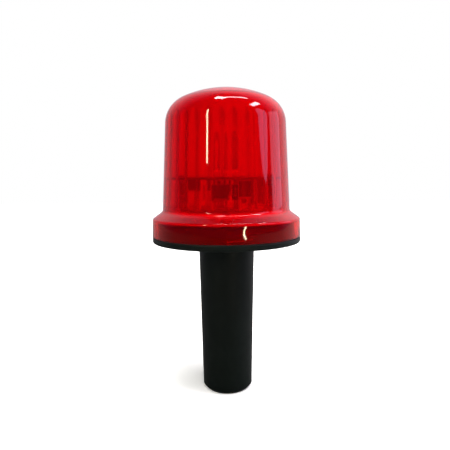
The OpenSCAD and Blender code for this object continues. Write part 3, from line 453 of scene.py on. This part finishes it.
# The capacitors: the storage one is an impact-extruded aluminium can in a shrunk grey sleeve, the
# trigger one is dipped in red-brown epoxy, and the timing one has a blue sleeve with a pale stripe.
can_aluminium = drawn_metal("aluminium can, impact extruded", "#8d8f92", "#c4c6c9", rough=0.3, streak=0.3)
dress(can_aluminium, "capacitor_can")
dipped_epoxy = moulded("epoxy, dipped and cured glossy", "#8c3f24", "#a2512f", grain=1.5, rough=0.16,
                       relief=0.05)
dress(dipped_epoxy, "trigger_capacitor")
for owner, label, body, stripe, centre, width in (
        ("capacitor_sleeve", "grey", "#b9bfc5", "#5a6067", (19.89, -8.91), 2.6),
        ("timing_capacitor", "blue", "#18265a", "#b9c0cf", (15.09, 14.06), 1.9)):
    # The stripe marks the negative lead, on the side that faces the board's edge
    finish, place = new_finish("shrunk PVC sleeve, " + label)
    shifted = add(finish, "Mapping", {"Vector": place, "Location": (-centre[0] * mm, -centre[1] * mm, 0)})
    axes = add(finish, "SeparateXYZ", {0: shifted}).outputs
    near = calc(finish, "LESS_THAN", calc(finish, "ABSOLUTE", axes["Y"]), width / 2 * mm)
    outward = calc(finish, "GREATER_THAN", axes["X"], 0)
    cloud = noise(finish, place, 400, 3)
    film = blend(finish, 0.88, blend(finish, cloud, body, stripe), body)
    tone = blend(finish, calc(finish, "MULTIPLY", near, outward), film, stripe)
    surface(finish, {"Base Color": tone, "Roughness": 0.28, "Normal": bumps(finish, cloud, 0.3, 0.05)})
    dress(finish, owner)


# The transistor, diodes and resistors: epoxy moulded bodies on tinned copper leads. Diodes carry a
# silver ring at one end, and resistors their colour rings on a tan coat.
moulded_epoxy = moulded("black epoxy, transfer moulded", "#0f0f11", "#1d1d20", grain=0.2, rough=0.55,
                        relief=0.015)
dress(moulded_epoxy, "transistor_body")
plated_tab = drawn_metal("copper tab, tin plated", "#87888a", "#bfc0c2", rough=0.3, streak=0.3,
                         along=(0.08, 1, 1))
dress(plated_tab, "transistor_tab")
tinned_lead = drawn_metal("copper wire, tinned", "#8b8b88", "#cdcdca", rough=0.28, streak=0.15)
dress(tinned_lead, "component_leads")

silver_x, silver_half = -6.7, 0.3
diode, place = new_finish("diode body, black epoxy with a silver ring")
across = add(diode, "SeparateXYZ", {0: place}).outputs["X"]
silver = calc(diode, "COMPARE", across, silver_x * mm, silver_half * mm)
grit = noise(diode, place, 3000, 2)
tone = blend(diode, silver, blend(diode, grit, "#0d0d0f", "#1c1c1f"), "#a9abad")
surface(diode, {"Base Color": tone, "Roughness": 0.42, "Normal": bumps(diode, grit, 0.3, 0.02)})
dress(diode, "rectifier_diodes")

# Two resistors lie along Y, left of parting_x, and three along X
parting_x, middle_y, middle_x, colour_half = -12, 9, -4, 0.28
resistor, place = new_finish("resistor body, tan lacquer with colour rings")
axes = add(resistor, "SeparateXYZ", {0: place}).outputs
lies_along_y = calc(resistor, "LESS_THAN", axes["X"], parting_x * mm)
along_x = calc(resistor, "SUBTRACT", axes["X"], middle_x * mm)
along_y = calc(resistor, "SUBTRACT", axes["Y"], middle_y * mm)
along = blend(resistor, lies_along_y, along_x, along_y, "FLOAT")
tone = blend(resistor, noise(resistor, place, 1500, 3), "#b08a5a", "#c9a878")
for spot, colour in ((-2.2, "#6b3a1a"), (-1.1, "#17171a"), (0.0, "#b3261c"), (2.1, "#a8832e")):
    band = calc(resistor, "COMPARE", along, spot * mm, colour_half * mm)
    tone = blend(resistor, band, tone, colour)
surface(resistor, {"Base Color": tone, "Roughness": 0.36})
dress(resistor, "resistors")


# The flash tube: borosilicate glass tube bent to a U and sealed on tungsten pins, in two ceramic
# sockets on the board. The bare trigger wire is wound round its rear leg.
def see_through(finish, sockets, tint):
    """Gives a material a clear shader, and shadows in which light of a tint passes."""
    clear = add(finish, "BsdfPrincipled", sockets)
    through = add(finish, "BsdfTransparent", {"Color": tint})
    shadow = add(finish, "LightPath").outputs["Is Shadow Ray"]
    add(finish, "OutputMaterial", {"Surface": add(finish, "MixShader", {0: shadow, 1: clear, 2: through})})
    return finish


glass, place = new_finish("borosilicate glass, bent and fire polished")
drawn = add(glass, "Mapping", {"Vector": place, "Scale": (1, 1, 0.1)})
waves = noise(glass, drawn, 250, 1)
see_through(glass, {"Base Color": "#f4f8f6", "Roughness": ramp(glass, waves, 0.3, 0.7, 0, 0.04), "IOR": 1.47,
                    "Transmission Weight": 1, "Normal": bumps(glass, waves, 0.2, 0.05)}, "#eef3f1")
dress(glass, "flash_tube")
seal_nickel = drawn_metal("nickel electrodes, spot welded", "#77756f", "#b4b2ab", rough=0.34, streak=0.2)
dress(seal_nickel, "tube_electrodes")
white_ceramic = moulded("steatite sockets, pressed and fired", "#d8d6ce", "#e6e4dd", grain=0.3, rough=0.46)
dress(white_ceramic, "tube_sockets")

tinned_copper = drawn_metal("trigger wire, bare tinned copper", "#8f8f8b", "#d0d0cc", rough=0.24, streak=0.1)
leg_r, leg_out, leg_foot, tube_turn = 2.5, 7, 168.5, math.radians(-60)
trigger_d, trigger_pitch, trigger_turns, turn_steps = 0.5, 3, 5, 32
wound_r, wound_from = leg_r + trigger_d / 2 + 0.05, leg_foot + 3.5
rise_at = wound_r + 4
trigger_line = [
    (-rise_at, 0, board_over), (-rise_at, 0, board_over + 2), (-rise_at, 0, wound_from - 2.9),
    (-rise_at + 0.25, -0.05, wound_from - 1.9), (1 - rise_at, -0.2, wound_from - 1.2),
    (-wound_r - 1.9, -0.27, wound_from - 0.75), (-wound_r - 1.2, -0.3, wound_from - 0.4),
    (-wound_r - 0.4, -0.25, wound_from - 0.1)]
for i in range(1, trigger_turns * turn_steps + 1):
    angle = math.pi + i * 2 * math.pi / turn_steps
    trigger_line.append((wound_r * math.cos(angle), wound_r * math.sin(angle),
                         wound_from + trigger_pitch * i / turn_steps))
# So far the leg is at the origin. It stands to one side of the tube's middle, and the tube is turned
turn_cos, turn_sin = math.cos(tube_turn), math.sin(tube_turn)
trigger_line = [((x - leg_out) * turn_cos - y * turn_sin, (x - leg_out) * turn_sin + y * turn_cos, z)
                for x, y, z in trigger_line]
trigger_wire = bent_wire("trigger_wire_bare", trigger_line, thickness=trigger_d, sides=3)
trigger_wire.data.materials.append(tinned_copper)
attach(trigger_wire, "base")
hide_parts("trigger_wire")


# The push switch in the flange: a phenolic body, a turned and nickel-plated bush with its nut, a
# rubber seal, a red button and tinned blades. Its return spring is built at one length on the base and does
# not shorten as the button goes in.
switch_y, body_foot = 36.0, 124.1
return_low, return_high, return_r = 119.7, 123.8, 3.1
switch_black = moulded("black phenolic, compression moulded", "#0e0f10", "#1b1c1e", grain=0.4, rough=0.4)
dress(switch_black, "switch_body")
bush_nickel = drawn_metal("brass bush and nut, turned and nickel plated", "#8f8d86", "#cbc9c1", rough=0.2,
                          streak=0.15, along=(0.2, 0.2, 1))
dress(bush_nickel, "switch_bush", "switch_nut")
button_red = moulded("red nylon button, moulded", "#9a0f0c", "#b31713", grain=0.5, rough=0.3)
dress(button_red, "switch_button")
blade_tin = drawn_metal("brass blades, tinned", "#94908a", "#ccc8bf", rough=0.26, streak=0.2)
dress(blade_tin, "switch_terminals")

return_spring = bent_wire("switch_return_spring", coil_line(
    return_r, return_r, return_low, return_high, turns=3, flat=0.12, steps=120, y=switch_y),
    thickness=0.6, sides=4)
return_spring.data.materials.append(spring_steel)
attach(return_spring, "base")
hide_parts("switch_spring")
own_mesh(return_spring)


# The three wires inside: stranded copper in soft PVC of 1.6 mm, cut and soldered at each end. Red
# comes from the positive tab, white goes up to the board, and black comes from the negative tab.
def smooth_route(points, steps=10):
    """A smooth curve through points, as a wire bends."""
    route = []
    for i in range(len(points) - 1):
        p0, p1, p2, p3 = (Vector(points[min(max(i + k, 0), len(points) - 1)]) for k in (-1, 0, 1, 2))
        for k in range(steps):
            t = k / steps
            route.append(0.5 * (2 * p1 + (p2 - p0) * t + (2 * p0 - 5 * p1 + 4 * p2 - p3) * t * t
                                + (3 * p1 - p0 - 3 * p2 + p3) * t ** 3))
    return route + [Vector(points[-1])]


wire_d, solder_film = 1.6, 0.02
wire_r = wire_d / 2
deck_low, deck_high, collar_reach, tab_low = 137.0, 139.4, 23.3294, 136.55
body_h, blade_x, blade_w, blade_h = 7, 4, 2.4, 2.2
under_tab = tab_low - wire_r - solder_film
solder_level = body_foot + body_h + blade_h - 1.2
blade_side = blade_x + blade_w / 2 + wire_r + solder_film
battery_start, negative_start = collar_reach + 0.7 * wire_d, collar_reach + 3.6


def riser(x, y, lean_x, lean_y):
    """The part of a wire that passes the deck and climbs to the board."""
    low = [(x, y, deck_low - wire_r), (x, y, deck_high + wire_r)]
    middle = [(x + 0.6 * lean_x, y + 0.6 * lean_y, (deck_high + board_under) / 2)]
    return low + middle + [(x + lean_x, y + lean_y, board_under - below)
                           for below in (2.5 * wire_d, wire_r, solder_film)]


for owner, slot_name, dark, light, points in (
        ("battery_wire", "wire_red", "#8e0d0b", "#ad1512",
         [(0, battery_start, under_tab), (-wire_d, battery_start + wire_r / 2, under_tab - 0.1),
          (-3 * wire_d, battery_start + 1.5 * wire_d, under_tab - wire_r),
          (-5 * wire_d, battery_start + 3 * wire_d, solder_level + wire_r),
          (-blade_side - wire_r, switch_y - 1.5 * wire_d, solder_level),
          (-blade_side, switch_y, solder_level)]),
        ("switch_wire", "wire_white", "#c9c7be", "#dcdad2",
         [(blade_side, switch_y, solder_level), (blade_side + wire_r, switch_y, solder_level + wire_r / 2)]
         + riser(9, switch_y, wire_r, -3 * wire_d)),
        ("negative_wire", "wire_black", "#101113", "#1d1e20",
         [(-negative_start, 0, under_tab), (-negative_start - wire_d, wire_r, under_tab - 0.1)]
         + riser(-31, 3, wire_r, 1.5 * wire_d))):
    lead = bent_wire(owner + "_insulated", smooth_route(points), thickness=wire_d, sides=4)
    lead.data.materials.append(moulded("soft PVC insulation, " + slot_name.split("_")[1], dark, light,
                                       grain=0.6, rough=0.4))
    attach(lead, "base")
    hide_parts(owner)


# The gasket between flange and skirt: a ring die-cut from sheet neoprene, matt and a little dusty.
# The washer that seals the switch's bush is cut from the same sheet.
gasket_rubber = moulded("neoprene sheet, die cut", "#101111", "#1f2020", grain=0.25, rough=0.78, sheen=0.3,
                        relief=0.03)
dress(gasket_rubber, "lens_gasket", "switch_seal")


# The lens: one moulding of clear red acrylic, smooth and polished outside, with 32 upright flutes
# inside the dome. Below the shoulder its skirt hides the upstand and carries the matching thread.
skirt_out, skirt_in, skirt_foot = 56.2, 53.4, 122.6
neck_z, neck_r, edge_r, inner_edge_r = 141.2, 3.4, 1.8, 0.6
edge_at, neck_at = Vector((55.7, 135.7)), Vector((48.1, neck_z))
wall, draft = 2.6, math.radians(3.2)
roof_top, crown_r, roof_r = 229.8, 78, 20
flutes, flute_depth, flute_foot, flute_end_r, flute_facets = 32, 0.95, neck_z + neck_r, 20, 12


def bow(centre, radius, start, end, steps):
    """Points of an arc between two angles, in radians."""
    return [Vector((centre[0] + radius * math.cos(a), centre[1] + radius * math.sin(a)))
            for a in [start + (end - start) * i / steps for i in range(steps + 1)]]


def rounded_corner(a, b, c, radius, steps):
    """Points that round the corner at b of the line a, b, c."""
    u, v = (a - b).normalized(), (c - b).normalized()
    half = math.acos(u.dot(v)) / 2
    centre = b + (u + v).normalized() * radius / math.sin(half)
    p, q = b + u * radius / math.tan(half) - centre, b + v * radius / math.tan(half) - centre
    start = math.atan2(p.y, p.x)
    sweep = (math.atan2(q.y, q.x) - start + 3 * math.pi) % (2 * math.pi) - math.pi
    return bow(centre, radius, start, start + sweep, steps)


def crossing(p, u, q, v):
    """Where the lines from p along u and from q along v meet."""
    d = q - p
    return p + u * (d.x * v.y - d.y * v.x) / (u.x * v.y - u.y * v.x)


# The edge of the roof is an arc that touches the drafted wall and the crown
crown_z = roof_top - crown_r
slope, reach = math.tan(draft), crown_r - roof_r
base_x = neck_at.x - roof_r / math.cos(draft) + (neck_at.y - crown_z) * slope
rise_z = (base_x * slope + math.sqrt(reach ** 2 * (1 + slope ** 2) - base_x ** 2)) / (1 + slope ** 2)
roof_centre = Vector((base_x - slope * rise_z, crown_z + rise_z))


def roof_line(inset):
    """The roof's outline, from the wall to the axis, inset by a wall."""
    tip = math.atan2(roof_centre.y - crown_z, roof_centre.x)
    crown = bow((0, crown_z), crown_r - inset, tip, math.pi / 2, steps=14)[1:]
    crown[-1].x = 0
    return bow(roof_centre, roof_r - inset, draft, tip, steps=24) + crown


wall_way = Vector((-math.sin(draft), math.cos(draft)))
wall_in = Vector((-math.cos(draft), -math.sin(draft)))
up_the_wall = 30 * wall_way
down_slope = (neck_at - edge_at).normalized()
inward = Vector((-down_slope.y, down_slope.x))
shoulder_in, wall_line = edge_at + wall * inward, neck_at + wall * wall_in
edge_in = crossing(Vector((skirt_in, skirt_foot)), Vector((0, 1)), shoulder_in, down_slope)
neck_in = crossing(shoulder_in, down_slope, wall_line, wall_way)
outside = [Vector((skirt_out, skirt_foot))]
outside += rounded_corner(outside[0], edge_at, neck_at, edge_r, steps=8)
outside += rounded_corner(edge_at, neck_at, neck_at + up_the_wall, neck_r, steps=8)
outside += roof_line(0)
inside = [Vector((skirt_in, skirt_foot))]
inside += rounded_corner(inside[0], edge_in, neck_in, inner_edge_r, steps=4)
inside += rounded_corner(edge_in, neck_in, neck_in + up_the_wall, neck_r + wall / 2, steps=8)
low_wall = inside[-1]
# Two rings close together, just below and just above the flutes' foot, give them blunt ends. Above
# them the wall is cut in six up to the roof, so that the flutes follow its draft
foot_half, wall_cuts = 0.06, 6
inside += [low_wall + wall_way * ((flute_foot + d - low_wall.y) / wall_way.y)
           for d in (-foot_half, foot_half)]
roof_in = roof_line(wall)
inside += [inside[-1].lerp(roof_in[0], k / wall_cuts) for k in range(1, wall_cuts)] + roof_in

# The outline is drawn point by point from one vertex, and spun round the axis
bpy.ops.mesh.primitive_plane_add(size=2 * mm, location=(outside[-1].x * mm, 0, outside[-1].y * mm))
lens = bpy.context.object
lens.name = "fluted_lens"
bpy.ops.object.transform_apply(location=True, rotation=True, scale=True)
edit_all()
bpy.ops.mesh.merge(type="CENTER")
line = outside[::-1] + inside
for here, there in zip(line, line[1:]):
    step = (there - here) * mm
    bpy.ops.mesh.extrude_region_move(TRANSFORM_OT_translate={"value": (step.x, 0, step.y)})
bpy.ops.mesh.select_all(action="SELECT")
bpy.ops.mesh.spin(steps=flutes * flute_facets, angle=2 * math.pi, center=(0, 0, 0), axis=(0, 0, 1))
bpy.ops.mesh.select_all(action="SELECT")
bpy.ops.mesh.remove_doubles(threshold=0.002 * mm)
bpy.ops.mesh.normals_make_consistent(inside=False)
bpy.ops.object.mode_set(mode="OBJECT")


def wall_at(z):
    """Radius of the dome's outside at a height."""
    return neck_at.x - (z - neck_at.y) * slope


# A point this near to the outer wall, or to a point of the outer outline, is on the outside
near_wall, near_point = 0.5, 0.3
for v in lens.data.vertices:
    # A point of the inner wall moves in to the face of its flute, which is a shallow round rib
    r, z = math.hypot(v.co.x, v.co.y) / mm, v.co.z / mm
    if z < flute_foot or r < flute_end_r or r > wall_at(z) - near_wall:
        continue
    if min(math.hypot(p.x - r, p.y - z) for p in outside) < near_point:
        continue
    angle = math.atan2(v.co.y, v.co.x)
    swell = 0.5 - 0.5 * math.cos(angle * flutes)
    face = wall_at(z) - wall / math.cos(draft) - flute_depth * swell
    if face < r:
        v.co.x, v.co.y = face * mm * math.cos(angle), face * mm * math.sin(angle)
only(lens)
smooth(24)


def eased(finish, value, start, end, low=0, high=1):
    """A ramp that starts and ends gently."""
    return ramp(finish, value, start, end, low, high, interpolation_type="SMOOTHSTEP")


# The outside came off a polished mould, and so did the inside of the skirt. The inside of the dome has
# the mould's fine spark grain, which blurs and veils what stands behind it, as far up as the flutes go.
grain_fades, grain_gone, heart_z = 203, 219, 150


def red_acrylic(name, passes, grained):
    """Acrylic dyed through: green and blue hardly pass one wall. A grained face is rougher."""
    finish, place = new_finish(name)
    tone = blend(finish, noise(finish, place, 14, 2), "#e40007", "#ea010a")
    ripple = noise(finish, place, 90, 1)
    wiped = noise(finish, place, 40, 6, 0.7)
    gloss = ramp(finish, wiped, 0.35, 0.75, 0.02, 0.07)
    if grained:
        height = add(finish, "SeparateXYZ", {0: place}).outputs["Z"]
        grain = eased(finish, height, grain_fades * mm, grain_gone * mm, 1, 0)
        gloss = blend(finish, grain, gloss, ramp(finish, wiped, 0.35, 0.75, 0.17, 0.24), "FLOAT")
        passes = ramp(finish, grain, 0, 1, 0.93, passes)
    return see_through(finish, {"Base Color": tone, "Roughness": gloss, "IOR": 1.49,
                                "Transmission Weight": passes,
                                "Normal": bumps(finish, ripple, 0.12, 0.05)}, "#f4202c")


polished_red = red_acrylic("clear red acrylic, injection moulded and polished", 0.95, grained=False)
grained_red = red_acrylic("clear red acrylic, the grained inside of the moulding", 0.82, grained=True)
lens.data.materials.append(polished_red)
lens.data.materials.append(grained_red)
heart = Vector((0, 0, heart_z * mm))
for face in lens.data.polygons:
    # An inner face looks towards the heart of the lens
    faces_in = face.normal.dot(face.center - heart) < 0
    face.material_index = 1 if faces_in and face.center.z > edge_at.y * mm else 0
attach(lens, "lens")
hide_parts("lens")

skirt_thread = thread_rib("skirt_thread", r_in=53.5, r_out=52.3, low=124.4, span=18)
skirt_thread.data.materials.append(polished_red)
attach(skirt_thread, "lens")


# The stage: a pale floor under the tube's tip that glows whiter with distance, so it runs out to the
# white of the world and keeps the shadow. Through the lens its left half is half as bright. Gloss sees
# it dark, but brighter behind the light and to the sides.
bpy.ops.mesh.primitive_plane_add(size=6)
floor = bpy.context.object
floor.name = "floor"
bpy.ops.object.mode_set(mode="EDIT")
bpy.ops.mesh.subdivide(number_cuts=4)
bpy.ops.object.mode_set(mode="OBJECT")
ground, place = new_finish("pale floor")
rays = add(ground, "LightPath").outputs
far = add(ground, "VectorMath", {0: place}, operation="LENGTH").outputs["Value"]
way = add(ground, "SeparateXYZ", {0: add(ground, "VectorMath", {0: place}, operation="NORMALIZE")}).outputs

# White to the camera and through the lens, by the distance from the light in metres
white = ramp(ground, far, 0.1, 0.9, 0.3, 0.9)
dimmed = calc(ground, "MULTIPLY", white, eased(ground, way["X"], -0.06, 0.03, low=0.5))
white = blend(ground, rays["Is Transmission Ray"], white, dimmed, "FLOAT")

# What gloss sees, by the way to a place on the floor and its distance
behind = eased(ground, way["Y"], -0.2, 0.75)
behind = calc(ground, "MULTIPLY", behind, ramp(ground, far, 0.15, 1.2, low=0.3))
aside = calc(ground, "POWER", way["X"], 2)
sheen = calc(ground, "MULTIPLY_ADD", aside, 0.35, behind)
sheen = calc(ground, "MULTIPLY", sheen, ramp(ground, way["X"], -1, 1, 0.2, 0.5))
sheen = calc(ground, "MULTIPLY", sheen, rays["Is Glossy Ray"])

direct = calc(ground, "MAXIMUM", rays["Is Camera Ray"], rays["Is Transmission Ray"])
lift = calc(ground, "MULTIPLY_ADD", direct, white, sheen)
paint = add(ground, "BsdfDiffuse", {"Color": blend(ground, rays["Is Glossy Ray"], "#f2f2f0", "#2c2c2c")})
glow = add(ground, "Emission", {"Color": "#ffffff", "Strength": lift})
add(ground, "OutputMaterial", {"Surface": add(ground, "AddShader", {0: paint, 1: glow})})
floor.data.materials.append(ground)


# The room: white to the camera. Through the lens it is dimmer on the left and on the camera's side.
# Gloss sees it dim in front and brighter behind, more so on the right and above half height, but for
# the zenith. All else is lit by a faint even light.
even_light, gloss_light = 0.12, 0.05
world = bpy.data.worlds.new("room")
scene.world = world
world.use_nodes = True
world.node_tree.nodes.clear()
rays = add(world, "LightPath").outputs
way = add(world, "SeparateXYZ", {0: add(world, "TexCoord").outputs["Generated"]}).outputs

# What gloss sees, by direction
behind = eased(world, way["Y"], -0.2, 0.75)
walls = ramp(world, way["X"], -1, 1, 0.28, 0.82)
walls = calc(world, "MULTIPLY", walls, ramp(world, way["Z"], 0.15, 0.6, 1, 1.6))
walls = calc(world, "MULTIPLY", walls, ramp(world, way["Z"], 0.93, 0.99, 1, 0.25))
gloss = calc(world, "MULTIPLY_ADD", behind, walls, gloss_light)

# What shows through the lens, by direction
backdrop = eased(world, way["X"], -0.12, 0.03, 0.68, 1.08)
backdrop = calc(world, "MULTIPLY", backdrop, ramp(world, way["Y"], -0.5, 0.1, low=0.35))

level = even_light
for ray, seen in (("Is Glossy Ray", gloss), ("Is Transmission Ray", backdrop), ("Is Camera Ray", 1.0)):
    level = blend(world, rays[ray], level, seen, "FLOAT")
dusk = blend(world, behind, "#9d88e6", "#fff0fa")
tint = blend(world, rays["Is Glossy Ray"], "#ffffff", dusk)
add(world, "OutputWorld", {"Surface": add(world, "Background", {"Color": tint, "Strength": level})})


# The lamps, which stand for the photograph's windows and ceiling lights. Each draws a highlight on the
# dome, but for the soft one overhead, which only lights. No lamp shows itself or shows through the lens.
lamps_aim = Vector((0, 0, 180 * mm))


def lamp(name, azimuth, elevation, width, height, power, colour,
         distance=1.0, turn=0, in_gloss=True, shape="RECTANGLE"):
    """An area lamp with sizes in metres, seen from the dome at an azimuth to the camera's right and an
    elevation, both in degrees."""
    bpy.ops.object.light_add(type="AREA")
    light = bpy.context.object
    light.name = name
    light.data.shape = shape
    light.data.size, light.data.size_y = width, height
    light.data.energy = power
    light.data.color = linear(colour)[:3]
    az, el = math.radians(azimuth), math.radians(elevation)
    way = Vector((math.sin(az) * math.cos(el), -math.cos(az) * math.cos(el), math.sin(el)))
    facing = way.to_track_quat("Z", "Y").to_matrix().to_4x4() @ Matrix.Rotation(math.radians(turn), 4, "Z")
    light.matrix_world = Matrix.Translation(lamps_aim + way * distance) @ facing
    light.visible_camera = False
    light.visible_transmission = False
    light.visible_glossy = in_gloss


lamp("soft_overhead", 45, 80, 1.5, 1.5, 52, "#ffffff", distance=1.4, in_gloss=False)
lamp("strip_left", -32.5, 21.4, 0.05, 0.4, 1.85, "#fff0c8")
lamp("ceiling", -30, 78.6, 0.2, 0.18, 2.5, "#fffaff")
lamp("ceiling_bar", 66, 77.3, 0.46, 0.08, 1.9, "#ffecf6", turn=-51)
lamp("ceiling_right", 71, 47.5, 0.34, 0.15, 3.0, "#fff4ff", turn=17)
lamp("panel_right", 70, 20, 0.34, 0.53, 0.8, "#e4c4ff", turn=20, shape="ELLIPSE")
lamp("panel_far_right", 101, 12, 0.5, 0.45, 0.9, "#e8dcff")
for i in range(-3, 4):
    # One bent strip low on the right, laid in seven pieces
    lamp("low_strip", 24.8 + 0.25 * i * i, -3.9 - 0.58 * i, 0.045, 0.0115, 0.05, "#fff0c8")
